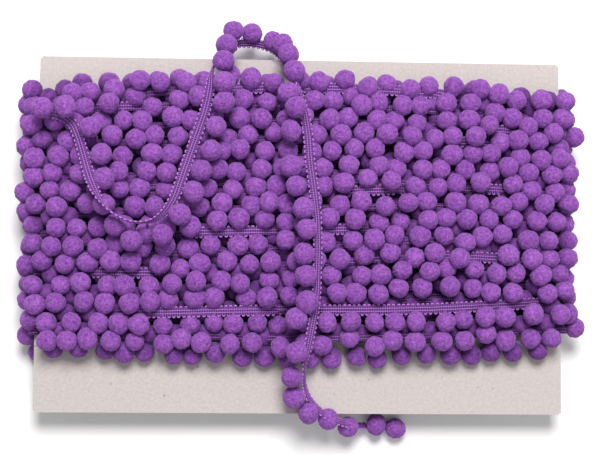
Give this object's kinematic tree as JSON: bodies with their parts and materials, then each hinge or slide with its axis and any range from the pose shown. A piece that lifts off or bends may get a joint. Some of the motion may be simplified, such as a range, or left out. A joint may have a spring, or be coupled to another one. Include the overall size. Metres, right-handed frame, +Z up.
{
  "type": "pompom fringe trim wound on a card",
  "caption": "Purple pompom fringe trim, a narrow braid edged with yarn balls, wound lengthwise round a flat greyboard card with a loose end on top.",
  "frame": {"origin": "middle of the card in X and Y, at the height the winding rests on", "axes": "+X along the card's long side and the turns, +Y towards the card's top edge, +Z up out of the front of the winding"},
  "size_m": [0.2686, 0.2079, 0.0501],
  "materials": {
    "greyboard": "matte warm grey board with fine fibres and specks",
    "pompom_yarn": "matte purple yarn, cut to a velvety ball",
    "braid": "woven purple braid with two cord ribs and small loops on both edges"
  },
  "bodies": {
    "root": {"card": "greyboard", "winding": "pompom_yarn", "loose_braid": "braid", "loose_pompom_01": "pompom_yarn", "loose_pompom_02": "pompom_yarn", "loose_pompom_03": "pompom_yarn", "loose_pompom_04": "pompom_yarn", "loose_pompom_05": "pompom_yarn", "loose_pompom_06": "pompom_yarn", "loose_pompom_07": "pompom_yarn", "loose_pompom_08": "pompom_yarn", "loose_pompom_09": "pompom_yarn", "loose_pompom_10": "pompom_yarn", "loose_pompom_11": "pompom_yarn", "loose_pompom_12": "pompom_yarn", "loose_pompom_13": "pompom_yarn", "loose_pompom_14": "pompom_yarn", "loose_pompom_15": "pompom_yarn", "loose_pompom_16": "pompom_yarn", "loose_pompom_17": "pompom_yarn", "loose_pompom_18": "pompom_yarn", "loose_pompom_19": "pompom_yarn", "loose_pompom_20": "pompom_yarn", "loose_pompom_21": "pompom_yarn", "loose_pompom_22": "pompom_yarn", "loose_pompom_23": "pompom_yarn", "loose_pompom_24": "pompom_yarn", "loose_pompom_25": "pompom_yarn", "loose_pompom_26": "pompom_yarn", "loose_pompom_27": "pompom_yarn", "loose_pompom_28": "pompom_yarn", "loose_pompom_29": "pompom_yarn", "loose_pompom_30": "pompom_yarn", "loose_pompom_31": "pompom_yarn", "loose_pompom_32": "pompom_yarn", "loose_pompom_33": "pompom_yarn", "loose_pompom_34": "pompom_yarn", "loose_pompom_35": "pompom_yarn", "loose_pompom_36": "pompom_yarn", "loose_pompom_37": "pompom_yarn", "loose_pompom_38": "pompom_yarn", "loose_pompom_39": "pompom_yarn", "loose_pompom_40": "pompom_yarn", "loose_pompom_41": "pompom_yarn", "loose_pompom_42": "pompom_yarn", "loose_pompom_43": "pompom_yarn"}
  },
  "joints": []
}
